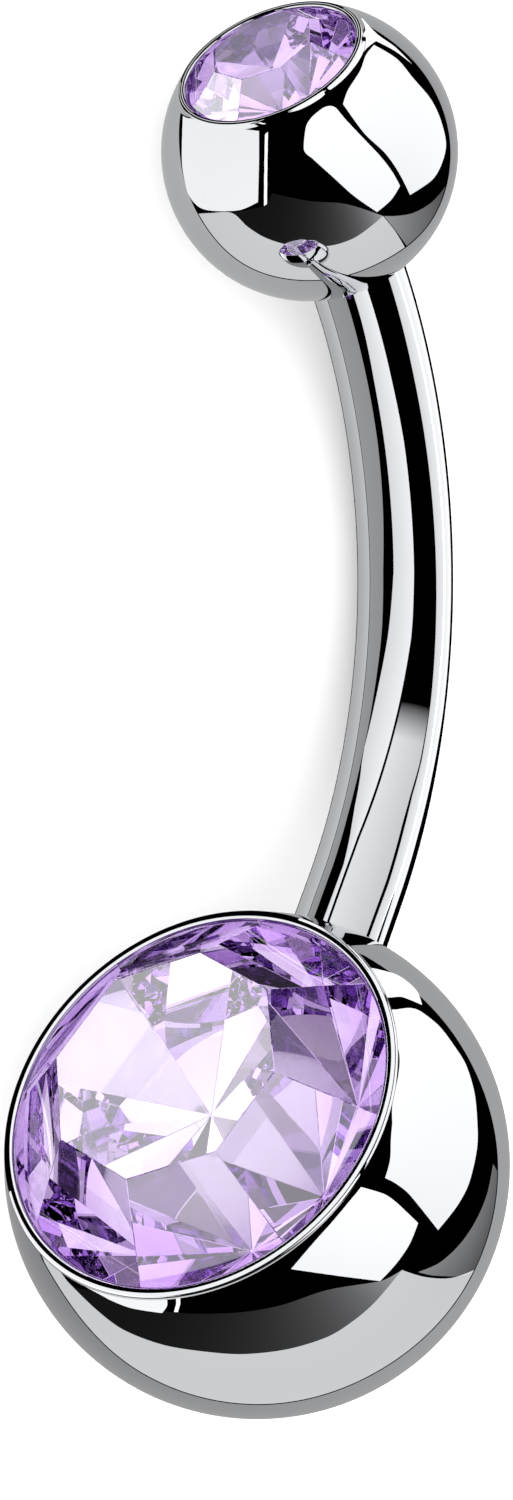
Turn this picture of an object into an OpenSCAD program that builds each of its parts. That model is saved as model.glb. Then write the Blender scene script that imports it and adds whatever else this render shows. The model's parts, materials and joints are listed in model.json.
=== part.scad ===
// Curved-bar navel ring with a stone set in each ball, lying on its side.
// Millimetres, +Z up. The origin is the middle of the part's box, on the surface it lies on.
// +Y runs from the large lower ball to the small top ball, and +X to the bulge of the bar.

/* [Bar] */
// Diameter of the round bar
bar_d = 1.6; // [1.5:0.05:1.8]
// Radius of the bend, at the bar's centre line
bend_r = 8.4; // [8:0.1:9.5]
// Angle that the bent stretch turns through, in degrees
bend_angle = 77.5; // [72:0.5:84]
// Straight neck that shows between the lower ball and the bend
neck_l = 1.2; // [0.8:0.1:2]
// Diameter of the pin that the top ball goes on
pin_d = 1.2; // [1:0.05:1.3]
// Chamfer at the free end of the pin
pin_chamfer = 0.15; // [0.05:0.05:0.25]

/* [Lower ball] */
// Diameter of the lower ball
lower_ball_d = 8; // [7.7:0.1:8.6]
// Radius of the round lip about the lower stone
lower_lip_r = 0.1; // [0.06:0.01:0.16]
// How far the lip stands out of the ball
lower_lip_rise = 0.02; // [0.01:0.01:0.04]
// Lean of the lower stone's axis from square to the neck, in degrees
lower_stone_lean = 4; // [0:1:10]

/* [Lower stone] */
// Diameter of the lower stone
lower_stone_d = 6.3; // [6:0.1:6.6]
// Width of its table, from corner to corner
lower_table_d = 3.92; // [3.2:0.02:4.4]
// Height of its crown, from the girdle's corners to the table
lower_crown_h = 1.27; // [1:0.01:1.4]
// Least height of its girdle, halfway between the facets' corners
lower_girdle_h = 0.1; // [0.06:0.02:0.16]
// Depth of its pavilion, from the girdle's lower corners to the culet
lower_pavilion_h = 2.61; // [2.4:0.01:2.8]
// How far the girdle's corners lie below the top of the lip
lower_stone_drop = 0.16; // [0.05:0.01:0.25]

/* [Top ball] */
// Diameter of the top ball
top_ball_d = 4.76; // [4.5:0.02:5.2]
// Radius of the round lip about the top stone
top_lip_r = 0.07; // [0.05:0.01:0.1]
// How far the lip stands out of the ball
top_lip_rise = 0.01; // [0.01:0.01:0.03]
// Lean of the top stone's axis from the pin's, in degrees
top_stone_lean = 4; // [0:1:8]
// How deep the bar's shoulder sits in the top ball
shoulder_inset = 0.48; // [0.4:0.02:0.6]

/* [Top stone] */
// Diameter of the top stone
top_stone_d = 2.8; // [2.6:0.05:3]
// Width of its table, from corner to corner
top_table_d = 1.72; // [1.5:0.02:2]
// Height of its crown, from the girdle's corners to the table
top_crown_h = 0.38; // [0.3:0.01:0.5]
// Least height of its girdle, halfway between the facets' corners
top_girdle_h = 0.05; // [0.03:0.01:0.08]
// Depth of its pavilion, from the girdle's lower corners to the culet
top_pavilion_h = 1.13; // [1.05:0.01:1.25]
// How far the girdle's corners lie below the top of the lip
top_stone_drop = 0.06; // [0.03:0.01:0.12]

/* [Stones] */
// Facets round the crown, and as many round the pavilion
facets = 8; // [8:1:12]
// Width of the small flat at the tip of each stone
culet_d = 0.06; // [0.04:0.01:0.12]

/* [Fits] */
// Gap round a stone in its seat
stone_gap = 0.03; // [0.02:0.01:0.06]
// Gap below a stone's tip in its seat
tip_gap = 0.05; // [0.03:0.01:0.1]
// Gap round the neck in the lower ball's socket
socket_gap = 0.02; // [0.01:0.01:0.04]
// Metal left between the socket and the lower stone's seat
socket_wall = 0.35; // [0.25:0.05:0.5]
// Gap round the pin in the top ball's bore
thread_gap = 0.03; // [0.01:0.01:0.06]
// Gap round the bar's shoulder in the top ball's counterbore
shoulder_gap = 0.05; // [0.03:0.01:0.08]
// Metal left between the bore and the top stone's seat
bore_wall = 0.4; // [0.3:0.05:0.6]
// Gap at the blind end of a bore or socket, and at the bar's shoulder
end_gap = 0.04; // [0.02:0.01:0.1]

/* [Hidden] */
$fn = 96;
steel_color = [0.72, 0.73, 0.75];
stone_color = [0.75, 0.62, 0.87];
bar_r = bar_d / 2;
pin_r = pin_d / 2;
lower_r = lower_ball_d / 2;
top_r = top_ball_d / 2;
lower_seat_r = lower_stone_d / 2 + stone_gap;
top_seat_r = top_stone_d / 2 + stone_gap;
// Larger than the whole part, for the reach of a cut
beyond = 40;
// How far the neck runs into the bend, so that the two are one piece
seam = 0.001;

// Middle of each lip's round section: its distance from the stone's axis, and its height along that
// axis from the ball's centre, as are the other heights
lower_lip_x = lower_seat_r + lower_lip_r;
top_lip_x = top_seat_r + top_lip_r;
lower_lip_h = sqrt((lower_r + lower_lip_rise - lower_lip_r) ^ 2 - lower_lip_x ^ 2);
top_lip_h = sqrt((top_r + top_lip_rise - top_lip_r) ^ 2 - top_lip_x ^ 2);
lower_girdle_top = lower_lip_h + lower_lip_r - lower_stone_drop;
top_girdle_top = top_lip_h + top_lip_r - top_stone_drop;
lower_table_h = lower_girdle_top + lower_crown_h;

// The flat facets cut deeper into the girdle between their corners, where it keeps its least height
function girdle_end(girdle_top, d, table_d, crown_h, girdle_h, pavilion_h) =
    girdle_top - girdle_h - (1 / cos(180 / facets) - 1) * (d * crown_h / (d - table_d) + pavilion_h);
lower_girdle_end = girdle_end(lower_girdle_top, lower_stone_d, lower_table_d, lower_crown_h,
    lower_girdle_h, lower_pavilion_h);
top_girdle_end = girdle_end(top_girdle_top, top_stone_d, top_table_d, top_crown_h, top_girdle_h,
    top_pavilion_h);
lower_tip_h = lower_girdle_end - lower_pavilion_h;
top_tip_h = top_girdle_end - top_pavilion_h;

// The socket ends where the seat's cone leaves socket_wall of metal beside its upper edge
socket_r = bar_r + socket_gap;
socket_cone_h = lower_pavilion_h + tip_gap;
socket_floor = lower_seat_r * (socket_r - lower_tip_h + tip_gap) / socket_cone_h + socket_wall;
neck_end = socket_floor + end_gap;
neck_from_centre = lower_r + neck_l;

// The bore ends bore_wall below the top stone's seat
bore_floor = bore_wall - (top_tip_h - tip_gap);
shoulder = top_r - shoulder_inset;
pin_l = shoulder - bore_floor - end_gap;

// The ring's own plane: the bend's centre at its origin, +X to the middle of the bulge
half_bend = bend_angle / 2;
function plane_direction(a) = [cos(a), sin(a), 0];
function bend_point(a) = bend_r * plane_direction(a);
lower_centre = bend_point(-half_bend) - neck_from_centre * plane_direction(90 - half_bend);
top_centre = bend_point(half_bend) + shoulder * plane_direction(90 + half_bend);

// The part rests on both balls and on the bulge of the bar. up_a is the direction of "up" within
// the ring's plane and up_s its share there, from the two equations of equal height.
span = top_centre - lower_centre;
r_step = top_r - lower_r;
r_rise = lower_r - bar_r;
eq_x = r_step * lower_centre.x - r_rise * span.x;
eq_y = r_step * lower_centre.y - r_rise * span.y;
up_a = atan2(eq_y, eq_x) - acos(-r_step * bend_r / norm([eq_x, eq_y]));
up_s = r_step / (span.x * cos(up_a) + span.y * sin(up_a));
lean = asin(up_s);

function about_z(p, a) = [p.x * cos(a) - p.y * sin(a), p.x * sin(a) + p.y * cos(a), p.z];
function about_y(p, a) = [p.x * cos(a) + p.z * sin(a), p.y, p.z * cos(a) - p.x * sin(a)];
function leaned(p) = about_y(about_z(p, 180 - up_a), lean);
yaw = 90 - atan2(leaned(span).y, leaned(span).x);
function laid(p) = about_z(leaned(p), yaw);

// The box of the laid part, for its middle. The lower ball reaches +X and -Y, or the bulge +X, the
// top ball or its lip +Y, and the lower stone's table, the lower lip or the top ball -X.
lower_axis_a = 180 + lower_stone_lean - half_bend;
lower_axis = plane_direction(lower_axis_a);
lower_across = plane_direction(lower_axis_a + 90);
top_axis = plane_direction(90 + top_stone_lean + half_bend);
function lower_stone_point(r, h, a) =
    lower_centre + h * lower_axis + r * (cos(a) * [0, 0, 1] - sin(a) * lower_across);
table_reach = min([for (i = [0:facets - 1])
    laid(lower_stone_point(lower_table_d / 2, lower_table_h, i * 360 / facets)).x]);
function lip_reach(along, lip_h, lip_x, lip_r) = lip_h * along + lip_x * sqrt(1 - along ^ 2) + lip_r;
lower_lip_reach = lip_reach(-laid(lower_axis).x, lower_lip_h, lower_lip_x, lower_lip_r);
top_lip_reach = lip_reach(laid(top_axis).y, top_lip_h, top_lip_x, top_lip_r);
bulge_reach = bend_r * norm([laid([1, 0, 0]).x, laid([0, 1, 0]).x]) + bar_r;
box_x = [min(table_reach, laid(lower_centre).x - lower_lip_reach, laid(top_centre).x - top_r),
    max(laid(lower_centre).x + lower_r, bulge_reach)];
box_y = [laid(lower_centre).y - lower_r, laid(top_centre).y + max(top_r, top_lip_reach)];
to_floor = [-(box_x[0] + box_x[1]) / 2, -(box_y[0] + box_y[1]) / 2, lower_r - laid(lower_centre).z];

// Lays the ring down from its own plane to its resting place
module laid_down() {
    translate(to_floor)
        rotate([0, 0, yaw])
            rotate([0, lean, 0])
                rotate([0, 0, 180 - up_a])
                    children();
}

// The lower end of the bend, with the neck along -Y
module at_lower_end() {
    rotate([0, 0, -half_bend]) translate([bend_r, 0, 0]) children();
}

// The upper end of the bend, with the pin along +Y
module at_top_end() {
    rotate([0, 0, half_bend]) translate([bend_r, 0, 0]) children();
}

// A stone's axis stands along +Z inside these two
module at_lower_stone() {
    at_lower_end()
        translate([0, -neck_from_centre, 0])
            rotate([0, 0, lower_stone_lean])
                rotate([0, -90, 0])
                    children();
}

module at_top_stone() {
    at_top_end()
        translate([0, shoulder, 0])
            rotate([0, 0, top_stone_lean])
                rotate([-90, 0, 0])
                    children();
}

// Half of a ball's section: the ball up to the middle of its round lip, and the lip
module ball_section(ball_r, lip_r, lip_x, lip_h) {
    intersection() {
        circle(r = ball_r);
        polygon([[0, lip_h], [lip_x, lip_h], beyond * [lip_x, lip_h], [beyond, -beyond], [0, -beyond]]);
    }
    translate([lip_x, lip_h])
        circle(r = lip_r);
}

// Ball with a stone seat: a straight wall down past the girdle, then a cone round the pavilion
module set_ball(ball_r, seat_r, lip_r, lip_h, girdle_end, tip_h) {
    rotate_extrude()
        difference() {
            ball_section(ball_r, lip_r, seat_r + lip_r, lip_h);
            polygon([[0, tip_h - tip_gap], [seat_r, girdle_end], [seat_r, beyond], [-beyond, beyond],
                [-beyond, tip_h - tip_gap]]);
        }
}

// What a ring of flat facets cuts off. Each facet passes through the sides of two rings with as many
// corners, one of radius r_a at height h_a and, above it, one of radius r_b at height h_b.
module facet_cuts(r_a, h_a, r_b, h_b) {
    share = cos(180 / facets);
    slope = atan2(h_b - h_a, (r_b - r_a) * share);
    for (i = [0:facets - 1])
        rotate([0, 0, (i + 0.5) * 360 / facets])
            translate([r_a * share, 0, h_a])
                rotate([0, -slope, 0])
                    translate([-beyond / 2, -beyond / 2, -beyond])
                        cube(beyond);
}

// Round stone whose girdle's corners reach from girdle_end up to girdle_top
module stone(d, table_d, crown_h, pavilion_h, girdle_top, girdle_end) {
    tip_h = girdle_end - pavilion_h;
    table_h = girdle_top + crown_h;
    culet_h = tip_h + pavilion_h * culet_d / d;
    difference() {
        translate([0, 0, culet_h])
            cylinder(d = d, h = table_h - culet_h);
        facet_cuts(d / 2, girdle_top, table_d / 2, table_h);
        facet_cuts(0, tip_h, d / 2, girdle_end);
    }
}

module curved_bar() {
    color(steel_color) laid_down() {
        rotate([0, 0, -half_bend])
            rotate_extrude(angle = bend_angle)
                translate([bend_r, 0])
                    circle(r = bar_r);
        at_lower_end()
            rotate([90, 0, 0])
                translate([0, 0, -seam])
                    cylinder(r = bar_r, h = neck_from_centre - neck_end + seam);
        at_top_end()
            rotate([-90, 0, 0]) {
                cylinder(r = pin_r, h = pin_l - pin_chamfer);
                translate([0, 0, pin_l - pin_chamfer])
                    cylinder(r1 = pin_r, r2 = pin_r - pin_chamfer, h = pin_chamfer);
            }
    }
}

module lower_ball() {
    color(steel_color) laid_down()
        difference() {
            at_lower_stone()
                set_ball(lower_r, lower_seat_r, lower_lip_r, lower_lip_h, lower_girdle_end,
                    lower_tip_h);
            at_lower_end()
                rotate([90, 0, 0])
                    cylinder(r = socket_r, h = neck_from_centre - socket_floor);
        }
}

module lower_stone() {
    color(stone_color) laid_down()
        at_lower_stone()
            stone(lower_stone_d, lower_table_d, lower_crown_h, lower_pavilion_h, lower_girdle_top,
                lower_girdle_end);
}

module top_ball() {
    color(steel_color) laid_down()
        difference() {
            at_top_stone()
                set_ball(top_r, top_seat_r, top_lip_r, top_lip_h, top_girdle_end, top_tip_h);
            at_top_end()
                rotate([-90, 0, 0]) {
                    translate([0, 0, -top_r])
                        cylinder(r = bar_r + shoulder_gap, h = top_r + end_gap);
                    cylinder(r = pin_r + thread_gap, h = shoulder - bore_floor);
                }
        }
}

module top_stone() {
    color(stone_color) laid_down()
        at_top_stone()
            stone(top_stone_d, top_table_d, top_crown_h, top_pavilion_h, top_girdle_top,
                top_girdle_end);
}

curved_bar();
lower_ball();
lower_stone();
top_ball();
top_stone();
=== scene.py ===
import json
from math import asin, atan2, cos, pi, radians, sin, sqrt, tan

import bmesh
import bpy
from bpy.props import FloatProperty, FloatVectorProperty, IntProperty, PointerProperty
from mathutils import Matrix, Vector

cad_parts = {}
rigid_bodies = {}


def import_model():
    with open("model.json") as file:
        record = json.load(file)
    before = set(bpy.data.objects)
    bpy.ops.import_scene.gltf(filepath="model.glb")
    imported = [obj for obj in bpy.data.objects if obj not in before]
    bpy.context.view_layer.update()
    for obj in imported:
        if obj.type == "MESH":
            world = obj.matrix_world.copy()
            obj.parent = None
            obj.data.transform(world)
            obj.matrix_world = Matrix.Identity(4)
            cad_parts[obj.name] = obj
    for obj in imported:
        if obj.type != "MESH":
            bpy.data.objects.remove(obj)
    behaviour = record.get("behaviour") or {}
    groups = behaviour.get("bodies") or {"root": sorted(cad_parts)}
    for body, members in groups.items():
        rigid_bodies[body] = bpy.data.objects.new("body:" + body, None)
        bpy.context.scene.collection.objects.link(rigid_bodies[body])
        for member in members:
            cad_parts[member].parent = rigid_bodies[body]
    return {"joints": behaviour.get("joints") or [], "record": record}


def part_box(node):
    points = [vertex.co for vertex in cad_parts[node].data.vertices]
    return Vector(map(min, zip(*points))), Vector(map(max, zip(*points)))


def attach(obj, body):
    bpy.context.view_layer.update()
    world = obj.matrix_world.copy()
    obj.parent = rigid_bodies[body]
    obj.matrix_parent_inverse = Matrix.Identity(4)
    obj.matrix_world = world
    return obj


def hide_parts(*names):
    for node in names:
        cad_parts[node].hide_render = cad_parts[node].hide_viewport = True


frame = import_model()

bl_info = {
    "name": "Navel Ring",
    "version": (1, 0, 0),
    "blender": (4, 5, 0),
    "location": "View3D > Sidebar > Navel Ring",
    "description": "Curved-bar navel ring with a stone set in each ball, on a pale floor",
    "category": "Object",
}

MM = 0.001
STEEL_SLOT = "polished_steel"
STONE_SLOT = "lilac_stone"
RING_BODY = "ring"
SCREW_BODY = "screw_ball"
PHOTO_WIDTH, PHOTO_HEIGHT = 513, 1500
PHOTO_FOCAL = 4400
FILM_MM = 36.0
FACETS = 8
CULET_D = 0.06 * MM

# Pieces that a card can be meant for
LIT = {
    "lower_ball": "lower_ball_fine",
    "top_ball": "top_ball_fine",
    "bar": "curved_bar_fine",
    "lower_stone": "lower_stone_cut",
    "top_stone": "top_stone_cut",
}

# Steel: the grain of its haze, the least and most roughness that it gives, as shares of the steel's own,
# and the grain and faintness of the wipe marks
HAZE_SCALE, HAZE_DETAIL = 900.0, 3.0
HAZE_LEAST, HAZE_MOST = 0.5, 1.8
MARKS_SCALE = (9000.0, 700.0, 4000.0)
MARKS_TURN = (0.3, 0.2, 0.5)
MARKS_STRENGTH, MARKS_DEPTH = 0.006, 0.002 * MM

# Stones: how deep the lilac is at each share of the stone's radius, with some cloud added to the share
LARGE_STONE_TINTS = ((0.75, 0.3), (0.95, 0.45), (1.12, 1.3), (1.3, 1.8))
SMALL_STONE_TINTS = ((0.6, 0.9), (0.85, 1.1), (1.1, 1.4), (1.3, 1.8))
LARGE_STONE_DEPTH, SMALL_STONE_DEPTH = 25 * MM, 12 * MM
INNER_LILAC = (0.62, 0.30, 0.86, 1.0)
CLOUD_SCALE, CLOUD_SHARE = 1.7, 0.5
TINT_REACH = 1.5

# The tent that the stones look into has dark patches: their direction, spread and depth
TENT_SHADES = (
    ((-0.2, 0.85, 0.35), radians(24), 0.96),
    ((-0.55, 0.62, 0.58), radians(13), 0.75),
    ((0.2, 0.3, -0.9), radians(75), 0.7),
)
SHADE_CORE = 0.85

# Soft white on a stone's crown facets, or on its table where no facet is given: its strength
STONE_VEILS = (
    ("lower", None, 2.7), ("lower", 6, 1.6), ("lower", 7, 1.6),
    ("top", None, 1.0), ("top", 3, 4.2), ("top", 4, 2.2), ("top", 5, 1.8),
)
VEIL_SPREAD = 0.2

# The white bead on the lips: its range from the stone's axis, its turn to each side, and its light
LIP_GLINTS = {"lower": (radians(18), radians(51)), "top": (radians(10), radians(17))}
LIP_TURN = radians(112)
LIP_LIGHT = (1.2, 1.3)

# What shows in the balls, in pixels of the photo. The grey base shows outside a ring, given by its centre
# and its radii at every 30 degrees, which are counted from the right by way of below. The ring is drawn in
# finer steps, and a dark line lies along its inside.
RINGS = {
    "lower": ((257, 1164), (241, 242.5, 240.5, 241, 239, 234, 245, 247, 247, 244, 234, 236)),
    "top": ((309.6, 152.1), (141, 140, 131, 129, 130.5, 128, 130, 139, 145, 146, 138.5, 139)),
}
RADII_STEP, RING_STEP = 30, 6
RING_LINE = 1

# The pale table lies between the dark front's edge and a stretch of the ring, from one angle to another. The
# grey side lies along a stretch at the right.
FRONT_EDGE = {
    "lower": [(72, 1286), (98, 1311), (124, 1330), (164, 1345), (209, 1352), (245, 1354), (288, 1349),
              (327, 1337), (353, 1321), (376, 1301), (402, 1270)],
    "top": [(232, 213), (248, 227), (266, 238), (289, 245), (310, 247), (334, 245), (354, 238), (370, 227),
            (383, 216)],
}
FRONT_BACK = {
    "lower": [(381, 1281), (327, 1290), (278, 1306), (229, 1313), (164, 1311)],
    "top": [(346, 204), (309, 201), (272, 193), (266, 206)],
}
TABLE_LEFT = {"lower": [(50, 1262)], "top": [(212, 213)]}
TABLE_RIGHT = {"lower": [(451, 1278), (425, 1277)], "top": [(395, 231)]}
TABLE_TURN = {"lower": (162, 26), "top": (151, 45)}
SIDE_START = {
    "lower": [(418, 1272), (439, 1263), (459, 1245), (475, 1222), (487, 1194), (493, 1164)],
    "top": [(384, 216), (396, 231)],
}
SIDE_END = {
    "lower": [(462, 1276), (443, 1276), (430, 1275)],
    "top": [(432, 202), (413, 213), (395, 216)],
}
SIDE_TURN = {"lower": (2, 26), "top": (44, 14)}

# Light of the greys in the balls: its least and most, which way it rises, and how late
GREYS = {
    "lower": {"base": (0.3, 0.46, "right", 1), "table": (0.86, 0.78, "up", 1),
              "front": (0.01, 0.54, "right", 5), "side": (0.11, 0.34, "right", 1)},
    "top": {"base": (0.575, 0.43, "right", 1), "table": (0.86, 0.78, "up", 1),
            "front": (0.01, 0.49, "right", 5), "side": (0.42, 0.09, "up", 1)},
}

# Soft boxes in the balls: where they show, and the shares of the card light at their lower and upper ends
SOFT_BOXES = {
    "lower": {
        "left": ([(20, 1200), (29, 1226), (39, 1245), (56, 1266), (79, 1285), (108, 1299), (131, 1308),
                  (162, 1313), (167, 1306), (170, 1291), (172, 1278), (131, 1262), (65, 1213)], 0.9, 0.8),
        "line": ([(179, 1294), (183, 1294), (178, 1312), (174, 1312)], 1, 1),
        "middle": ([(361, 1187), (384, 1194), (397, 1203), (418, 1223), (409, 1245), (395, 1265),
                    (380, 1281), (340, 1276), (291, 1269), (314, 1242), (340, 1213)], 0.86, 1),
        "right": ([(394, 1010), (409, 1008), (420, 1011), (439, 1026), (455, 1047), (466, 1065),
                   (474, 1091), (477, 1118), (477, 1148), (469, 1183), (457, 1206), (438, 1230),
                   (409, 1194), (395, 1183), (385, 1178), (390, 1160), (391, 1137), (394, 1109),
                   (400, 1077), (401, 1054), (396, 1029)], 0.84, 1),
        "rim": ([(372, 968), (395, 974), (409, 983), (418, 993), (422, 1005), (402, 997), (389, 998),
                 (384, 987)], 1, 1),
    },
    "top": {
        "left": ([(183, 114), (211, 123), (236, 128), (259, 131), (259, 163), (258, 202), (240, 210),
                  (215, 211), (199, 207), (188, 193), (182, 163)], 0.84, 0.8),
        "line": ([(265, 135), (268, 132), (267, 204), (264, 206)], 1, 1),
        "middle": ([(306, 127), (312, 117), (323, 108), (330, 106), (336, 108), (346, 120), (364, 139),
                    (381, 157), (393, 173), (400, 186), (391, 200), (377, 212), (354, 196), (334, 178),
                    (313, 159), (304, 150)], 0.88, 1),
        "right": ([(374, 45), (397, 59), (413, 78), (430, 98), (440, 118), (446, 143), (442, 163),
                   (432, 180), (410, 195), (399, 173), (385, 153), (364, 133), (343, 104), (348, 90),
                   (360, 71), (366, 55)], 0.84, 1),
        "rim": ([(362, 18), (377, 34), (395, 47), (412, 64), (395, 51), (376, 41), (366, 49), (354, 65),
                 (346, 67), (354, 41)], 1, 1),
    },
}
OUTLINE_STEPS = 6
OUTLINE_TURN = radians(50)
EDGE_REACH = 0.99

# Stripes of the bar: their inner and outer lines through points (along, across), the light at each of the
# lines, and the share of the stripe's length over which its upper end fades
BAR_STRIPES = {
    "edge": ([(-0.2, -0.985), (1.2, -0.985)], [(-0.2, -0.74), (1.2, -0.74)], 0.5, 0.72, 0),
    "grey": ([(-0.2, -0.73), (1.2, -0.73)],
             [(-0.2, -0.6), (0.1, -0.6), (0.2, -0.57), (0.3, -0.52), (0.4, -0.46), (0.5, -0.46),
              (0.6, -0.41), (0.7, -0.38), (1.2, -0.36)], 0.42, 0.38, 0),
    "pale": ([(-0.05, -0.4), (0.0, -0.4), (0.05, -0.44), (0.1, -0.5), (0.15, -0.52), (0.2, -0.57),
              (0.3, -0.46), (0.4, -0.32), (0.5, -0.24), (0.8, -0.24), (0.9, -0.2), (1.2, -0.2)],
             [(-0.05, -0.34), (0.0, -0.33), (0.05, -0.3), (0.1, -0.23), (0.15, -0.16), (0.2, -0.09),
              (0.3, 0.04), (0.4, 0.16), (0.5, 0.18), (0.7, 0.16), (0.8, 0.12), (1.2, 0.06)], 0.95, 1.2, 0),
    "low": ([(-0.2, -0.28), (0.0, -0.28), (0.05, -0.25), (0.1, -0.18), (0.15, -0.11), (0.29, 0.075)],
            [(-0.2, 0.53), (0.1, 0.53), (0.15, 0.56), (0.2, 0.62), (0.29, 0.655)], 1.05, 0.82, 0.12),
    "bright": ([(-0.2, 0.6), (0.1, 0.59), (0.15, 0.6), (0.2, 0.65), (0.3, 0.67), (0.5, 0.64), (0.8, 0.58),
                (1.2, 0.58)],
               [(-0.2, 0.88), (0.1, 0.9), (0.3, 0.95), (1.2, 0.955)], 0.95, 1.35, 0),
}

LIGHT_BOUNCES, GLOSSY_BOUNCES = 40, 24


def length(name, millimetres, description):
    """A length that the user can change, kept in metres."""
    return FloatProperty(name=name, description=description, default=millimetres * MM, min=0.0,
                         unit="LENGTH", precision=6)


def angle(name, degrees, description):
    return FloatProperty(name=name, description=description, default=radians(degrees), unit="ROTATION")


def share(name, default, description):
    return FloatProperty(name=name, description=description, default=default, min=0.0, max=1.0,
                         subtype="FACTOR")


def strength(name, default, description):
    return FloatProperty(name=name, description=description, default=default, min=0.0)


def tint(name, default, description):
    return FloatVectorProperty(name=name, description=description, default=default, size=3, min=0.0,
                               max=1.0, subtype="COLOR")


def record_tint(slot):
    """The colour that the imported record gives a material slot."""
    for finish in frame["record"]["materials"]:
        if finish["slot"] == slot:
            return tuple(finish["base_color"][:3])
    raise RuntimeError(f"the record has no material slot {slot}")


class BarSizes(bpy.types.PropertyGroup):
    bar_d: length("Bar", 1.6, "Diameter of the round bar")
    bend_r: length("Bend", 8.4, "Radius of the bend, at the bar's centre line")
    neck_l: length("Neck", 1.2, "Straight neck that shows between the lower ball and the bend")
    pin_d: length("Pin", 1.2, "Diameter of the pin that the top ball goes on")
    pin_chamfer: length("Pin chamfer", 0.15, "Chamfer at the free end of the pin")
    bend_steps: IntProperty(name="Bend steps", description="Sections along the bend", default=96, min=8)
    round_steps: IntProperty(name="Round steps", description="Faces round the bar", default=72, min=12)


class LowerSetting(bpy.types.PropertyGroup):
    ball_d: length("Ball", 8.0, "Diameter of the lower ball")
    lip_r: length("Lip", 0.1, "Radius of the round lip about the stone")
    lip_rise: length("Lip rise", 0.02, "How far the lip stands out of the ball")
    lean: angle("Lean", 4.0, "Lean of the stone's axis from square to the neck")
    stone_d: length("Stone", 6.3, "Diameter of the stone")
    table_d: length("Table", 3.92, "Width of its table, from corner to corner")
    crown_h: length("Crown", 1.27, "Height of its crown, from the girdle's corners to the table")
    girdle_h: length("Girdle", 0.1, "Least height of its girdle")
    pavilion_h: length("Pavilion", 2.61, "Depth of its pavilion, from the girdle's lower corners")
    stone_drop: length("Drop", 0.16, "How far the girdle's corners lie below the top of the lip")
    edge_w: length("Edge", 0.014, "Width of the polished edges between the facets")


class TopSetting(bpy.types.PropertyGroup):
    ball_d: length("Ball", 4.76, "Diameter of the top ball")
    lip_r: length("Lip", 0.07, "Radius of the round lip about the stone")
    lip_rise: length("Lip rise", 0.01, "How far the lip stands out of the ball")
    lean: angle("Lean", 4.0, "Lean of the stone's axis from the pin's")
    stone_d: length("Stone", 2.8, "Diameter of the stone")
    table_d: length("Table", 1.72, "Width of its table, from corner to corner")
    crown_h: length("Crown", 0.38, "Height of its crown, from the girdle's corners to the table")
    girdle_h: length("Girdle", 0.05, "Least height of its girdle")
    pavilion_h: length("Pavilion", 1.13, "Depth of its pavilion, from the girdle's lower corners")
    stone_drop: length("Drop", 0.06, "How far the girdle's corners lie below the top of the lip")
    edge_w: length("Edge", 0.01, "Width of the polished edges between the facets")


class Fits(bpy.types.PropertyGroup):
    stone_gap: length("Round a stone", 0.03, "Gap round a stone in its seat")
    tip_gap: length("Below a stone", 0.05, "Gap below a stone's tip in its seat")
    socket_gap: length("Round the neck", 0.02, "Gap round the neck in the lower ball's socket")
    socket_wall: length("Socket wall", 0.35, "Metal left between the socket and the stone's seat")
    thread_gap: length("Round the pin", 0.03, "Gap round the pin in the top ball's bore")
    shoulder_gap: length("Round the shoulder", 0.05, "Gap round the bar in the top ball's counterbore")
    bore_wall: length("Bore wall", 0.4, "Metal left between the bore and the stone's seat")
    end_gap: length("At the blind ends", 0.04, "Gap at the blind end of a bore or socket")


class Finishes(bpy.types.PropertyGroup):
    steel: tint("Steel", record_tint(STEEL_SLOT), "Colour of the polished steel")
    stone: tint("Stone", record_tint(STONE_SLOT), "Colour of the stones")
    steel_gloss: share("Steel roughness", 0.003, "Roughness of the mirror polish")
    stone_bend: strength("Stone refraction", 2.15, "Index of refraction of the stones")


class StudioSettings(bpy.types.PropertyGroup):
    aim: FloatVectorProperty(name="Aim", description="Point in the middle of the view", size=3,
                             default=(-0.248 * MM, -0.746 * MM, 2.907 * MM), subtype="TRANSLATION",
                             precision=6)
    distance: length("Distance", 70.359, "From the camera to the point that it aims at")
    azimuth: angle("Azimuth", -95.419, "Turn of the camera about the upright axis")
    elevation: angle("Elevation", 65.465, "Height of the camera over the floor")
    roll: angle("Roll", 100.293, "Turn of the camera about its own axis")
    lens: FloatProperty(name="Lens", description="Focal length for a 36 mm picture height",
                        default=PHOTO_FOCAL / PHOTO_HEIGHT * FILM_MM, unit="CAMERA")
    card_distance: length("Card distance", 2000, "From the balls to their light cards")
    strip_distance: length("Strip distance", 200, "From the bar and the stones to their own cards")
    floor_r: length("Floor", 1500, "Radius of the round floor")
    floor_light: strength("Floor light", 2.0, "Strength of the even light on the floor")
    grey_light: strength("Grey light", 1.0, "Strength of the greys that show in the balls")
    card_light: strength("Card light", 1.45, "Strength of the white cards")
    tent_light: strength("Tent light", 1.55, "Strength of the light that the stones take in")
    small_tent_light: strength("Small stone's light", 0.9, "Strength of the small stone's further light")


def sizes():
    return bpy.context.scene.navel_ring_bar


def settings():
    """The settings of the lower and of the top ball."""
    scene = bpy.context.scene
    return scene.navel_ring_lower, scene.navel_ring_top


def fits():
    return bpy.context.scene.navel_ring_fits


def finishes():
    return bpy.context.scene.navel_ring_finishes


def studio():
    return bpy.context.scene.navel_ring_studio


# Where things are

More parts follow.
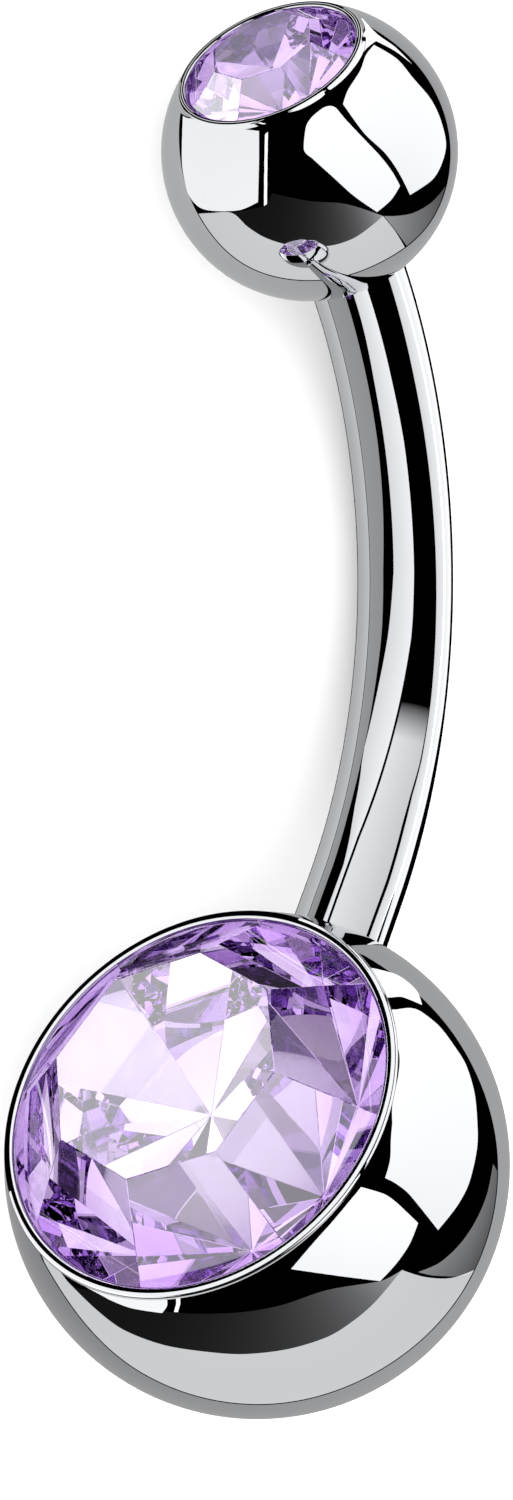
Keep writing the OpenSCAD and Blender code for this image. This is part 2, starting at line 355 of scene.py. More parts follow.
def ring_plane():
    """From the plane that the bar is bent in to the frame: origin at the bend's centre, +X to the
    middle of the bulge, +Y along the bar there. Also half the bend's angle."""
    mount = frame["record"]["mounts"][0]
    along = Vector(mount["axis"]).normalized()
    pin = Vector(frame["joints"][0]["axis"]).normalized()
    square = along.cross(pin).normalized()
    bulge = along.cross(square)
    origin = Vector(mount["pos_m"]) - sizes().bend_r * bulge
    place = Matrix((bulge, along, square)).transposed().to_4x4()
    place.translation = origin
    return place, along.angle(pin)


def bend_end(side):
    """Place of the bend's lower (-1) or upper (1) end, with the bar along Y."""
    place, half_bend = ring_plane()
    return place @ Matrix.Rotation(side * half_bend, 4, "Z") @ Matrix.Translation((sizes().bend_r, 0, 0))


def stone_place(which):
    """Place of a ball's centre, with the stone's axis along +Z."""
    lower, top = settings()
    if which == "lower":
        down = Matrix.Translation((0, -neck_from_centre(), 0))
        return bend_end(-1) @ down @ Matrix.Rotation(lower.lean, 4, "Z") @ Matrix.Rotation(-pi / 2, 4, "Y")
    return (bend_end(1) @ Matrix.Translation((0, top_shoulder(), 0)) @ Matrix.Rotation(top.lean, 4, "Z")
            @ Matrix.Rotation(-pi / 2, 4, "X"))


def top_shoulder():
    """From the bar's shoulder to the top ball's centre, from where the frame puts that ball."""
    low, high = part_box("top_ball")
    r = settings()[1].ball_d / 2
    centre = Vector((high.x - r, high.y - r, r))
    place = bend_end(1)
    return (centre - place.translation).dot(place.to_3x3().col[1])


def lip_middle(setting):
    """Middle of the lip's round section: from the stone's axis, and over the ball's centre."""
    out = setting.stone_d / 2 + fits().stone_gap + setting.lip_r
    reach = setting.ball_d / 2 + setting.lip_rise - setting.lip_r
    return out, sqrt(reach ** 2 - out ** 2)


def girdle_heights(setting):
    """Heights of the girdle's upper and lower corners over the ball's centre."""
    top = lip_middle(setting)[1] + setting.lip_r - setting.stone_drop
    slope = setting.stone_d / (setting.stone_d - setting.table_d)
    flat_cut = (1 / cos(pi / FACETS) - 1) * (slope * setting.crown_h + setting.pavilion_h)
    return top, top - setting.girdle_h - flat_cut


def seat_tip(setting):
    """Height of the lowest point of the stone's seat over the ball's centre."""
    return girdle_heights(setting)[1] - setting.pavilion_h - fits().tip_gap


def socket_floor():
    """From the lower ball's centre to the blind end of the bar's socket."""
    lower = settings()[0]
    seat_r = lower.stone_d / 2 + fits().stone_gap
    socket_r = sizes().bar_d / 2 + fits().socket_gap
    cone_h = lower.pavilion_h + fits().tip_gap
    return seat_r * (socket_r - seat_tip(lower)) / cone_h + fits().socket_wall


def neck_from_centre():
    return settings()[0].ball_d / 2 + sizes().neck_l


def bore_depth():
    """From the bar's shoulder to the blind end of the top ball's bore."""
    return top_shoulder() - fits().bore_wall + seat_tip(settings()[1])


# Shapes

def new_object(name, bm, material=None):
    """Makes the mesh an object in the scene. The mesh is used up."""
    mesh = bpy.data.meshes.new(name)
    bm.to_mesh(mesh)
    bm.free()
    if material:
        mesh.materials.append(material)
    made = bpy.data.objects.new(name, mesh)
    bpy.context.scene.collection.objects.link(made)
    return made


def finished_piece(name, bm, material, body, replaced):
    """Makes the mesh an object that rides on a body and stands for a CAD node."""
    piece = new_object(name, bm, material)
    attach(piece, body)
    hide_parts(replaced)


def shade_smooth(bm, crease=radians(30)):
    """Smooth faces that meet at less than the crease angle."""
    bm.normal_update()
    for face in bm.faces:
        face.smooth = True
    for edge in bm.edges:
        edge.smooth = edge.calc_face_angle(0) < crease


def extruded(bm, face, shift, shrink=1.0):
    """Pulls a flat end face out by shift and returns it, drawn in about its middle by shrink."""
    out = bmesh.ops.extrude_face_region(bm, geom=[face])["geom"]
    verts = [v for v in out if isinstance(v, bmesh.types.BMVert)]
    end = [f for f in out if isinstance(f, bmesh.types.BMFace)][0]
    bmesh.ops.translate(bm, verts=verts, vec=shift)
    middle = end.calc_center_median()
    bmesh.ops.scale(bm, verts=verts, vec=(shrink, shrink, shrink), space=Matrix.Translation(-middle))
    return end


def bar_mesh():
    """The bent bar with its neck at one end and its chamfered pin at the other."""
    bar = sizes()
    place, half_bend = ring_plane()
    start, end = bend_end(-1), bend_end(1)
    bm = bmesh.new()
    across = start @ Matrix.Rotation(pi / 2, 4, "X")
    bmesh.ops.create_circle(bm, cap_ends=True, segments=bar.round_steps, radius=bar.bar_d / 2,
                            matrix=across)
    lower_end = bm.faces[:][0]
    spun = bmesh.ops.spin(bm, geom=bm.verts[:] + bm.edges[:] + bm.faces[:], cent=place.translation,
                          axis=place.to_3x3().col[2], angle=2 * half_bend, steps=bar.bend_steps)
    upper_end = [g for g in spun["geom_last"] if isinstance(g, bmesh.types.BMFace)][0]
    neck = neck_from_centre() - socket_floor() - fits().end_gap
    extruded(bm, lower_end, -neck * start.to_3x3().col[1])
    along = end.to_3x3().col[1]
    bmesh.ops.inset_region(bm, faces=[upper_end], thickness=(bar.bar_d - bar.pin_d) / 2)
    pin_l = bore_depth() - fits().end_gap
    pin_end = extruded(bm, upper_end, (pin_l - bar.pin_chamfer) * along)
    extruded(bm, pin_end, bar.pin_chamfer * along, 1 - 2 * bar.pin_chamfer / bar.pin_d)
    bmesh.ops.recalc_face_normals(bm, faces=bm.faces[:])
    shade_smooth(bm)
    return bm


def ball_profile(setting, steps=96, lip_steps=24):
    """Half of the ball's section, from the seat's tip over the lip to the far pole."""
    r, lip = setting.ball_d / 2, setting.lip_r
    reach = r + setting.lip_rise - lip
    lip_x, lip_h = lip_middle(setting)
    outward = atan2(lip_h, lip_x)
    meeting = (r ** 2 - lip ** 2 + reach ** 2) / (2 * reach)
    half_width = sqrt(r ** 2 - meeting ** 2)
    lip_turn = pi - outward + atan2(half_width, meeting - reach)
    first = outward - asin(half_width / r)
    points = [(0, seat_tip(setting)), (lip_x - lip, girdle_heights(setting)[1])]
    for i in range(lip_steps + 1):
        a = pi - lip_turn * i / lip_steps
        points.append((lip_x + lip * cos(a), lip_h + lip * sin(a)))
    for i in range(1, steps + 1):
        a = first - (first + pi / 2) * i / steps
        points.append((r * cos(a), r * sin(a)))
    points[-1] = (0, -r)
    return [Vector((x, 0, h)) for x, h in points]


def spun_ball(setting, place, round_steps=192):
    """The ball with its lip and seat, spun about the stone's axis."""
    bm = bmesh.new()
    verts = [bm.verts.new(p) for p in ball_profile(setting)]
    for a, b in zip(verts, verts[1:]):
        bm.edges.new((a, b))
    bmesh.ops.spin(bm, geom=bm.verts[:] + bm.edges[:], cent=(0, 0, 0), axis=(0, 0, 1), angle=2 * pi,
                   steps=round_steps, use_merge=True)
    bmesh.ops.remove_doubles(bm, verts=bm.verts[:], dist=1e-7)
    bmesh.ops.recalc_face_normals(bm, faces=bm.faces[:])
    bmesh.ops.transform(bm, matrix=place, verts=bm.verts[:])
    return bm


def drill(name, r, from_y, to_y, place, round_steps=96):
    """A round cutter along the Y axis of place."""
    bm = bmesh.new()
    lay = place @ Matrix.Translation((0, (from_y + to_y) / 2, 0)) @ Matrix.Rotation(pi / 2, 4, "X")
    bmesh.ops.create_cone(bm, cap_ends=True, segments=round_steps, radius1=r, radius2=r,
                          depth=abs(to_y - from_y), matrix=lay)
    bmesh.ops.recalc_face_normals(bm, faces=bm.faces[:])
    return new_object(name, bm)


def drilled(bm, cutters):
    """The mesh with the cutters taken out of it. The cutters are used up."""
    blank = new_object("undrilled", bm)
    for cutter in cutters:
        cut = blank.modifiers.new(cutter.name, "BOOLEAN")
        cut.operation = "DIFFERENCE"
        cut.solver = "EXACT"
        cut.object = cutter
    result = blank.evaluated_get(bpy.context.evaluated_depsgraph_get()).to_mesh()
    out = bmesh.new()
    out.from_mesh(result)
    for spent in [blank] + cutters:
        bpy.data.objects.remove(spent)
    return out


def facet_planes(r_a, h_a, r_b, h_b):
    """A point and an outward normal of each flat facet between two rings of corners."""
    flat = cos(pi / FACETS)
    point = Vector((r_a * flat, 0, h_a))
    normal = Vector((h_b - h_a, 0, (r_a - r_b) * flat)).normalized()
    for i in range(FACETS):
        turn = Matrix.Rotation((i + 0.5) * 2 * pi / FACETS, 3, "Z")
        yield turn @ point, turn @ normal


def crown_planes(setting):
    girdle_top, _ = girdle_heights(setting)
    return list(facet_planes(setting.stone_d / 2, girdle_top, setting.table_d / 2,
                             girdle_top + setting.crown_h))


def stone_mesh(setting, place, round_steps=96):
    """Round stone cut from a cylinder, with narrow polished edges between its facets."""
    girdle_top, girdle_end = girdle_heights(setting)
    r, tip = setting.stone_d / 2, girdle_end - setting.pavilion_h
    table_h = girdle_top + setting.crown_h
    culet_h = tip + setting.pavilion_h * CULET_D / setting.stone_d
    bm = bmesh.new()
    bmesh.ops.create_cone(bm, cap_ends=True, segments=round_steps, radius1=r, radius2=r,
                          depth=table_h - culet_h,
                          matrix=Matrix.Translation((0, 0, (table_h + culet_h) / 2)))
    for point, normal in crown_planes(setting) + list(facet_planes(0, tip, r, girdle_end)):
        cut = bmesh.ops.bisect_plane(bm, geom=bm.verts[:] + bm.edges[:] + bm.faces[:], dist=1e-9,
                                     plane_co=point, plane_no=normal, clear_outer=True)
        rim = [g for g in cut["geom_cut"] if isinstance(g, bmesh.types.BMEdge)]
        bmesh.ops.edgeloop_fill(bm, edges=rim)
    bmesh.ops.recalc_face_normals(bm, faces=bm.faces[:])
    flat_faces = {f for f in bm.faces if abs(f.normal.z) > 0.1}
    ridges = [e for e in bm.edges if all(f in flat_faces for f in e.link_faces)
              and e.calc_length() > setting.edge_w * 4]
    bmesh.ops.bevel(bm, geom=ridges, offset=setting.edge_w / 2, offset_type="OFFSET", segments=1,
                    profile=0.5, affect="EDGES", material=-1, clamp_overlap=True)
    bm.normal_update()
    for face in bm.faces:
        face.smooth = False
    bmesh.ops.transform(bm, matrix=place, verts=bm.verts[:])
    return bm


# Finishes

def feed(tree, node, inputs):
    """Gives each of a node's inputs its value, or the output that leads to it."""
    for key, source in inputs.items():
        if isinstance(source, bpy.types.NodeSocket):
            tree.links.new(source, node.inputs[key])
        else:
            node.inputs[key].default_value = source


def add_node(tree, kind, inputs, operation=None):
    node = tree.nodes.new("ShaderNode" + kind)
    if operation:
        node.operation = operation
    feed(tree, node, inputs)
    return node


def new_material(name):
    material = bpy.data.materials.new(name)
    material.use_nodes = True
    return material, material.node_tree


def mirror_steel():
    """Mirror-polished steel with faint wipe marks and a trace of haze."""
    material, tree = new_material("mirror_steel")
    place = add_node(tree, "TexCoord", {}).outputs["Object"]
    haze = add_node(tree, "TexNoise", {"Vector": place, "Scale": HAZE_SCALE, "Detail": HAZE_DETAIL})
    gloss = add_node(tree, "MapRange", {
        "Value": haze.outputs["Fac"],
        "To Min": finishes().steel_gloss * HAZE_LEAST,
        "To Max": finishes().steel_gloss * HAZE_MOST,
    })
    stretch = add_node(tree, "Mapping", {"Vector": place, "Scale": MARKS_SCALE, "Rotation": MARKS_TURN})
    marks = add_node(tree, "TexNoise", {"Vector": stretch.outputs["Vector"], "Scale": 1.0})
    bump = add_node(tree, "Bump", {
        "Height": marks.outputs["Fac"], "Strength": MARKS_STRENGTH, "Distance": MARKS_DEPTH})
    feed(tree, tree.nodes["Principled BSDF"], {
        "Metallic": 1.0,
        "Base Color": (*finishes().steel, 1.0),
        "Roughness": gloss.outputs["Result"],
        "Normal": bump.outputs["Normal"],
    })
    return material


def steel():
    return bpy.data.materials.get("mirror_steel") or mirror_steel()


def stone_radius_share(tree, setting, place):
    """Distance from the stone's axis as a share of its radius, with some cloud added to it."""
    where = add_node(tree, "TexCoord", {}).outputs["Object"]
    centred = add_node(tree, "Mapping", {"Vector": where})
    centred.vector_type = "TEXTURE"
    feed(tree, centred, {"Location": place.translation, "Rotation": place.to_euler(),
                         "Scale": [setting.stone_d / 2] * 3})
    flat = add_node(tree, "VectorMath", {0: centred.outputs["Vector"], 1: (1.0, 1.0, 0.0)}, "MULTIPLY")
    out = add_node(tree, "VectorMath", {0: flat.outputs["Vector"]}, "LENGTH")
    cloud = add_node(tree, "TexNoise", {"Vector": centred.outputs["Vector"], "Scale": CLOUD_SCALE})
    return add_node(tree, "Math", {
        0: cloud.outputs["Fac"], 1: CLOUD_SHARE, 2: out.outputs["Value"]}, "MULTIPLY_ADD").outputs["Value"]


def lilac_stone(name, setting, place, depth, tints):
    """Clear cut stone. It is pale in the middle and deeper lilac to the girdle, and its lilac deepens
    along the light's way, by e in one depth."""
    material, tree = new_material(name)
    share_out = stone_radius_share(tree, setting, place)
    scaled = add_node(tree, "Math", {0: share_out, 1: TINT_REACH}, "DIVIDE")
    zone = add_node(tree, "ValToRGB", {"Fac": scaled.outputs["Value"]})
    while len(zone.color_ramp.elements) < len(tints):
        zone.color_ramp.elements.new(1.0)
    for element, (at, deep) in zip(zone.color_ramp.elements, tints):
        element.position = at / TINT_REACH
        element.color = (*[1 - deep * (1 - c) for c in finishes().stone], 1.0)
    feed(tree, tree.nodes["Principled BSDF"], {
        "Base Color": zone.outputs["Color"],
        "Roughness": 0.0,
        "IOR": finishes().stone_bend,
        "Transmission Weight": 1.0,
    })
    absorb = add_node(tree, "VolumeAbsorption", {"Color": INNER_LILAC, "Density": 1.0 / depth})
    feed(tree, tree.nodes["Material Output"], {"Volume": absorb.outputs["Volume"]})
    return material


# Studio

def camera_axes():
    """The camera's turn, from its azimuth, elevation and roll."""
    view = studio()
    return (Matrix.Rotation(view.azimuth, 3, "Z") @ Matrix.Rotation(pi / 2 - view.elevation, 3, "X")
            @ Matrix.Rotation(view.roll, 3, "Z"))


def camera_place():
    axes = camera_axes()
    return Vector(studio().aim) + studio().distance * axes.col[2]


def mirrored(toward, normal):
    """Direction that shows in a mirror to an eye in the direction toward."""
    return 2 * normal.dot(toward) * normal - toward


def shown_on_ball(which, x, y):
    """Direction that shows on a ball at a point of the 513 by 1500 picture, or at the ball's edge where
    the point lies past it."""
    lower, top = settings()
    r = (lower if which == "lower" else top).ball_d / 2
    focal = studio().lens / FILM_MM * PHOTO_HEIGHT
    ray = Vector(((x - PHOTO_WIDTH / 2) / focal, (PHOTO_HEIGHT / 2 - y) / focal, -1)).normalized()
    ray = camera_axes() @ ray
    away = stone_place(which).translation - camera_place()
    beside = ray * away.dot(ray) - away
    if beside.length > EDGE_REACH * r:
        beside *= EDGE_REACH * r / beside.length
    normal = (beside - ray * sqrt(r ** 2 - beside.length_squared)) / r
    return mirrored(-ray, normal)


def glow(name, low, high, fade=0, curve=1):
    """Clear sheet that only adds its light, which runs from low to high up its spread, late where the
    curve is over 1. It dies away over the last share, fade, of its length."""
    material, tree = new_material(name)
    tree.nodes.remove(tree.nodes["Principled BSDF"])
    split = add_node(tree, "SeparateXYZ", {"Vector": add_node(tree, "UVMap", {}).outputs["UV"]})
    bent = add_node(tree, "Math", {0: split.outputs["Y"], 1: curve}, "POWER")
    ramp = add_node(tree, "MapRange", {"Value": bent.outputs["Value"], "To Min": low, "To Max": high})
    strong = ramp.outputs["Result"]
    if fade:
        end = add_node(tree, "MapRange", {
            "Value": split.outputs["X"], "From Min": 1 - fade, "To Min": 1.0, "To Max": 0.0})
        strong = add_node(tree, "Math", {0: strong, 1: end.outputs["Result"]}, "MULTIPLY").outputs["Value"]
    light = add_node(tree, "Emission", {"Strength": strong})
    clear = add_node(tree, "BsdfTransparent", {})
    both = add_node(tree, "AddShader", {0: light.outputs["Emission"], 1: clear.outputs["BSDF"]})
    feed(tree, tree.nodes["Material Output"], {"Surface": both.outputs["Shader"]})
    material.cycles.emission_sampling = "NONE"
    return material


def spread_faces(bm, height, run=lambda v: 0.5):
    """Gives each corner its share of the card's whole spread, by height, and of its length, by run."""
    heights = {v: height(v) for v in bm.verts}
    low, high = min(heights.values()), max(heights.values())
    spread = bm.loops.layers.uv.new("spread")
    for face in bm.faces:
        for corner in face.loops:
            corner[spread].uv = (run(corner.vert), (heights[corner.vert] - low) / (high - low))


def staged_card(name, bm, material, lit):
    """A card that shows only in the reflection of one piece."""
    card = new_object(name, bm, material)
    card.visible_camera = False
    card.visible_diffuse = False
    card.visible_transmission = False
    card.visible_shadow = False
    card.visible_volume_scatter = False
    group = bpy.data.collections.get("lit_" + lit)
    if not group:
        group = bpy.data.collections.new("lit_" + lit)
        group.objects.link(bpy.data.objects[LIT[lit]])
    card.light_linking.receiver_collection = group
    return card


def smooth_outline(corners):
    """The closed outline through the corners, with a corner kept sharp where it turns far."""
    points = [Vector(c) for c in corners]
    pulls = []
    for before, here, after in zip(points[-1:] + points, points, points[1:] + points[:1]):
        into, out_of = here - before, after - here
        if into.angle(out_of) > OUTLINE_TURN:
            pulls.append(Vector((0, 0)))
        else:
            pulls.append((after - before).normalized() * min(into.length, out_of.length))
    outline = []
    for i, here in enumerate(points):
        after, pull, next_pull = points[(i + 1) % len(points)], pulls[i], pulls[(i + 1) % len(points)]
        for k in range(OUTLINE_STEPS):
            t = k / OUTLINE_STEPS
            outline.append((2 * t ** 3 - 3 * t ** 2 + 1) * here + (t ** 3 - 2 * t ** 2 + t) * pull
                           + (3 * t ** 2 - 2 * t ** 3) * after + (t ** 3 - t ** 2) * next_pull)
    return outline


def ring_edge(which, first, last, inset=0):
    """The inner edge of the grey base that shows in a ball, from one angle in degrees to another."""
    (x, y), radii = RINGS[which]
    points = []
    count = max(2, round(abs(last - first) / RING_STEP))
    for i in range(count + 1):
        turn = first + (last - first) * i / count
        k, t = int(turn // RADII_STEP), turn % RADII_STEP / RADII_STEP
        a, b, c, d = (radii[(k + j) % len(radii)] for j in (-1, 0, 1, 2))
        r = b + t * (c - a + t * (2 * a - 5 * b + 4 * c - d + t * (3 * b - 3 * c + d - a))) / 2 - inset
        points.append((x + r * cos(radians(turn)), y + r * sin(radians(turn))))
    return points


def ball_card(which, name, corners, low, high, sweep="up", curve=1):
    """A card for one ball. Its corners are given by where they show on the ball in the picture. Its
    light runs from low to high up the picture, or to the right."""
    centre = stone_place(which).translation
    directions = [shown_on_ball(which, *point) for point in smooth_outline(corners)]
    facing = sum(directions, Vector()).normalized()
    reach = studio().card_distance
    bm = bmesh.new()
    bm.faces.new([bm.verts.new(centre + d * reach / d.dot(facing)) for d in directions])
    spread_faces(bm, lambda v: v.co.dot(camera_axes().col[0 if sweep == "right" else 1]))
    light = glow(f"{which}_{name}", low, high, curve=curve)
    staged_card(f"{which}_{name}", bm, light, which + "_ball")


def grey_outlines(which):
    """Outlines of the grey base, of the pale table and its dark front, and of the grey side."""
    return {
        "base": ring_edge(which, 0, 354),
        "table": (ring_edge(which, *TABLE_TURN[which], RING_LINE) + TABLE_RIGHT[which]
                  + FRONT_EDGE[which][::-1] + TABLE_LEFT[which]),
        "front": FRONT_EDGE[which] + FRONT_BACK[which],
        "side": SIDE_START[which] + ring_edge(which, *SIDE_TURN[which], RING_LINE) + SIDE_END[which],
    }


def ball_cards():
    """The greys and the soft boxes that show in the balls."""
    grey, bright = studio().grey_light, studio().card_light
    for which in GREYS:
        for name, corners in grey_outlines(which).items():
            low, high, sweep, curve = GREYS[which][name]
            ball_card(which, name, corners, grey * low, grey * high, sweep, curve)
        for name, (corners, low, high) in SOFT_BOXES[which].items():
            ball_card(which, name, corners, bright * low, bright * high)


def lip_cards(turns=40, rises=8):
    """The white bead on the lips, from the side of each ball that faces the camera."""
    for which, (low, high) in LIP_GLINTS.items():
        place = stone_place(which)
        axis = place.to_3x3().col[2]
        toward = (camera_place() - place.translation).normalized()
        near = (toward - toward.dot(axis) * axis).normalized()
        bm = bmesh.new()
        bmesh.ops.create_grid(bm, x_segments=turns, y_segments=rises, size=0.5)
        for v in bm.verts:
            out = Matrix.Rotation(2 * v.co.x * LIP_TURN, 3, axis) @ near
            rise = low + (high - low) * (v.co.y + 0.5)
            normal = cos(rise) * axis + sin(rise) * out
            v.co = place.translation + studio().card_distance * mirrored(toward, normal)
        spread_faces(bm, lambda v: v.co.dot(camera_axes().col[1]))
        staged_card(f"{which}_lip", bm, glow(f"{which}_lip", *LIP_LIGHT), which + "_ball")


def shown_on_bar(along, across):
    """Point on the bar, and the direction that shows there: along the bend from its lower end, and
    across the bar as the camera sees it, from -1 at the inside of the bend to 1 at the outside."""
    place, half_bend = ring_plane()
    place = place @ Matrix.Rotation((2 * along - 1) * half_bend, 4, "Z")
    outward, tangent = place.to_3x3().col[0], place.to_3x3().col[1]
    middle = place @ Vector((sizes().bend_r, 0, 0))
    toward = (camera_place() - middle).normalized()
    side = tangent.cross(toward).normalized()
    side *= 1 if side.dot(outward) > 0 else -1
    normal = across * side + sqrt(1 - across ** 2) * side.cross(tangent) * (
        1 if side.cross(tangent).dot(toward) > 0 else -1)
    point = middle + sizes().bar_d / 2 * normal
    return point, mirrored((camera_place() - point).normalized(), normal)


def on_line(line, along):
    """Place across the bar of a line through the points (along, across)."""
    for (a, p), (b, q) in zip(line, line[1:]):
        if along <= b:
            return p + (q - p) * (along - a) / (b - a)
    return line[-1][1]


def bar_card(name, inner, outer, light_inner, light_outer, fade, steps=48):
    """A clear card for the bar alone, between two lines on the bar that it shows as a stripe."""
    first, last = inner[0][0], inner[-1][0]
    bm = bmesh.new()
    bmesh.ops.create_grid(bm, x_segments=16, y_segments=steps, size=0.5)
    shares = {v: v.co.x + 0.5 for v in bm.verts}
    runs = {v: v.co.y + 0.5 for v in bm.verts}
    for v in bm.verts:
        along = first + (last - first) * runs[v]
        left, right = on_line(inner, along), on_line(outer, along)
        point, direction = shown_on_bar(along, left + (right - left) * shares[v])
        v.co = point + studio().strip_distance * direction
    spread_faces(bm, lambda v: shares[v], lambda v: runs[v])
    staged_card(name, bm, glow(name, light_inner, light_outer, fade), "bar")


def bar_cards():
    """The stripes of the bar."""
    for name, stripe in BAR_STRIPES.items():
        bar_card(f"bar_{name}_card", *stripe)


def disc(middle, facing, r):
    """A flat round sheet about a point, square to a direction."""
    place = Matrix.Translation(middle) @ facing.to_track_quat("Z", "Y").to_matrix().to_4x4()
    bm = bmesh.new()
    bmesh.ops.create_circle(bm, cap_ends=True, segments=48, radius=r, matrix=place)
    return bm


def stone_veils():
    """The soft white that shows on the stones' tables and on some of their crown facets, numbered
    round the stone."""
    lower, top = settings()
    far = studio().strip_distance
    for which, facet, light in STONE_VEILS:
        setting = lower if which == "lower" else top
        point, normal = Vector((0, 0, girdle_heights(setting)[0] + setting.crown_h)), Vector((0, 0, 1))
        if facet is not None:
            point, normal = crown_planes(setting)[facet]
        place = stone_place(which)
        point, normal = place @ point, place.to_3x3() @ normal
        direction = mirrored((camera_place() - point).normalized(), normal)
        name = f"{which}_veil_{'table' if facet is None else facet}"
        sheet = disc(point + far * direction, direction, far * VEIL_SPREAD)
        staged_card(name, sheet, glow(name, light, light), which + "_stone")


def small_stone_fill():
    """Light for the small stone alone, in the place of the tent's darkest patch."""
    toward, spread, _ = TENT_SHADES[0]
    direction = Vector(toward).normalized()
    far = studio().strip_distance
    sheet = disc(stone_place("top").translation + far * direction, direction, far * tan(spread))
    light = studio().small_tent_light
    fill = staged_card("small_stone_fill", sheet, glow("small_stone_fill", light, light), "top_stone")
    fill.visible_glossy = False
    fill.visible_transmission = True


def floor_material():
    material, tree = new_material("pale_floor")
    feed(tree, tree.nodes["Principled BSDF"], {
        "Base Color": (0.9, 0.9, 0.9, 1.0), "Roughness": 0.9, "Specular IOR Level": 0.0})
    return material


def pale_floor():
    bm = bmesh.new()
    bmesh.ops.create_circle(bm, cap_ends=True, segments=64, radius=studio().floor_r)
    floor = new_object("floor", bm, floor_material())
    floor.visible_glossy = False
    floor.visible_transmission = False


def tent_shade(tree):
    """Brightness of the tent by direction, with its dark patches."""
    place = add_node(tree, "TexCoord", {}).outputs["Generated"]
    shade = 1.0
    for direction, spread, depth in TENT_SHADES:
        near = add_node(tree, "VectorMath", {0: place, 1: Vector(direction).normalized()}, "DOT_PRODUCT")
        patch = add_node(tree, "MapRange", {
            "Value": near.outputs["Value"],
            "From Min": cos(spread),
            "From Max": cos(spread * SHADE_CORE),
            "To Min": 1.0,
            "To Max": 1.0 - depth,
        })
        shade = add_node(tree, "Math", {0: shade, 1: patch.outputs["Result"]}, "MULTIPLY").outputs["Value"]
    return shade


def world_light():
    """Even pale light for the floor and the view, dark where the steel looks past the cards, and
    bright round the stones."""
    world = bpy.data.worlds.new("studio_world")
    bpy.context.scene.world = world
    world.use_nodes = True
    world.cycles.sampling_method = "NONE"
    tree = world.node_tree
    pale = tree.nodes["Background"]
    feed(tree, pale, {"Strength": studio().floor_light, "Color": (1, 1, 1, 1)})
    dark = add_node(tree, "Background", {"Color": (0, 0, 0, 1)})
    tent = add_node(tree, "Background", {"Strength": studio().tent_light, "Color": tent_shade(tree)})
    way = add_node(tree, "LightPath", {})
    for_steel = add_node(tree, "MixShader", {
        "Fac": way.outputs["Is Glossy Ray"], 1: pale.outputs["Background"], 2: dark.outputs["Background"]})
    for_stone = add_node(tree, "MixShader", {
        "Fac": way.outputs["Is Transmission Ray"], 1: for_steel.outputs["Shader"],
        2: tent.outputs["Background"]})
    feed(tree, tree.nodes["World Output"], {"Surface": for_stone.outputs["Shader"]})


def photo_camera():
    view = studio()
    data = bpy.data.cameras.new("photo_camera")
    data.lens = view.lens
    data.sensor_width = FILM_MM
    data.clip_start = 1 * MM
    data.clip_end = 10.0
    camera = bpy.data.objects.new("photo_camera", data)
    place = camera_axes().to_4x4()
    place.translation = camera_place()
    camera.matrix_world = place
    bpy.context.scene.collection.objects.link(camera)
    bpy.context.scene.camera = camera


# Steps that make the pieces and the studio

class MakeBar(bpy.types.Operator):
    """Make the curved steel bar with its neck and pin"""
    bl_idname = "navel_ring.make_bar"
    bl_label = "Curved Bar"

    def execute(self, context):
        finished_piece("curved_bar_fine", bar_mesh(), steel(), RING_BODY, "curved_bar")
        return {"FINISHED"}


class MakeLowerBall(bpy.types.Operator):
    """Make the large steel ball with its lip, stone seat and socket"""
    bl_idname = "navel_ring.make_lower_ball"
    bl_label = "Lower Ball"

    def execute(self, context):
        lower, _ = settings()
        hole = drill("socket", sizes().bar_d / 2 + fits().socket_gap, 0,
                     socket_floor() - neck_from_centre(), bend_end(-1))
        bm = drilled(spun_ball(lower, stone_place("lower")), [hole])
        shade_smooth(bm)
        finished_piece("lower_ball_fine", bm, steel(), RING_BODY, "lower_ball")
        return {"FINISHED"}


class MakeTopBall(bpy.types.Operator):
    """Make the small steel ball with its lip, stone seat, bore and counterbore"""
    bl_idname = "navel_ring.make_top_ball"
    bl_label = "Top Ball"

    def execute(self, context):
        _, top = settings()
        bore = drill("bore", sizes().pin_d / 2 + fits().thread_gap, 0, bore_depth(), bend_end(1))
        step = drill("counterbore", sizes().bar_d / 2 + fits().shoulder_gap, -top.ball_d / 2,
                     fits().end_gap, bend_end(1))
        bm = drilled(spun_ball(top, stone_place("top")), [bore, step])
        shade_smooth(bm)
        finished_piece("top_ball_fine", bm, steel(), SCREW_BODY, "top_ball")
        return {"FINISHED"}


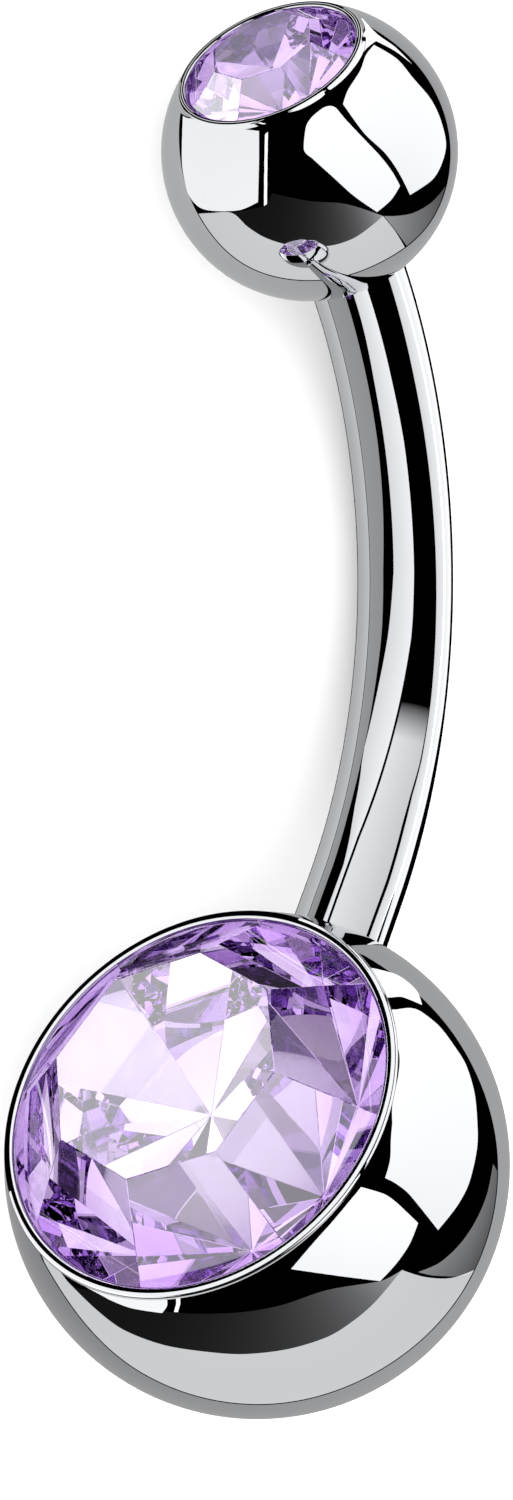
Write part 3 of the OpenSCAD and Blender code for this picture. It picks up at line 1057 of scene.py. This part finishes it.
class MakeStones(bpy.types.Operator):
    """Make the two cut stones"""
    bl_idname = "navel_ring.make_stones"
    bl_label = "Stones"

    def execute(self, context):
        lower, top = settings()
        finished_piece("lower_stone_cut", stone_mesh(lower, stone_place("lower")),
                       lilac_stone("large_cut_stone", lower, stone_place("lower"), LARGE_STONE_DEPTH,
                                   LARGE_STONE_TINTS),
                       RING_BODY, "lower_stone")
        finished_piece("top_stone_cut", stone_mesh(top, stone_place("top")),
                       lilac_stone("small_cut_stone", top, stone_place("top"), SMALL_STONE_DEPTH,
                                   SMALL_STONE_TINTS),
                       SCREW_BODY, "top_stone")
        return {"FINISHED"}


class MakeStudio(bpy.types.Operator):
    """Set up the floor, the light and the camera"""
    bl_idname = "navel_ring.make_studio"
    bl_label = "Studio"

    def execute(self, context):
        photo_camera()
        pale_floor()
        ball_cards()
        bar_cards()
        lip_cards()
        stone_veils()
        small_stone_fill()
        world_light()
        context.scene.view_settings.view_transform = "Standard"
        context.scene.cycles.max_bounces = LIGHT_BOUNCES
        context.scene.cycles.glossy_bounces = GLOSSY_BOUNCES
        context.scene.cycles.transmission_bounces = LIGHT_BOUNCES
        return {"FINISHED"}


class NavelRingPanel(bpy.types.Panel):
    bl_idname = "VIEW3D_PT_navel_ring"
    bl_label = "Navel Ring"
    bl_space_type = "VIEW_3D"
    bl_region_type = "UI"
    bl_category = "Navel Ring"

    def draw(self, context):
        for step in STEPS:
            self.layout.operator(step.bl_idname)
        for name in GROUPS:
            group = getattr(context.scene, name)
            box = self.layout.box()
            for key in group.bl_rna.properties.keys():
                if key not in ("rna_type", "name"):
                    box.prop(group, key)


GROUPS = {
    "navel_ring_bar": BarSizes,
    "navel_ring_lower": LowerSetting,
    "navel_ring_top": TopSetting,
    "navel_ring_fits": Fits,
    "navel_ring_finishes": Finishes,
    "navel_ring_studio": StudioSettings,
}
STEPS = (MakeBar, MakeLowerBall, MakeTopBall, MakeStones, MakeStudio)
CLASSES = (BarSizes, LowerSetting, TopSetting, Fits, Finishes, StudioSettings) + STEPS + (NavelRingPanel,)


def register():
    for cls in CLASSES:
        bpy.utils.register_class(cls)
    for name, group in GROUPS.items():
        setattr(bpy.types.Scene, name, PointerProperty(type=group))


def unregister():
    for name in GROUPS:
        delattr(bpy.types.Scene, name)
    for cls in reversed(CLASSES):
        bpy.utils.unregister_class(cls)


def main():
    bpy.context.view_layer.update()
    register()
    for step in STEPS:
        group, name = step.bl_idname.split(".")
        getattr(getattr(bpy.ops, group), name)()


if __name__ == "__main__":
    main()
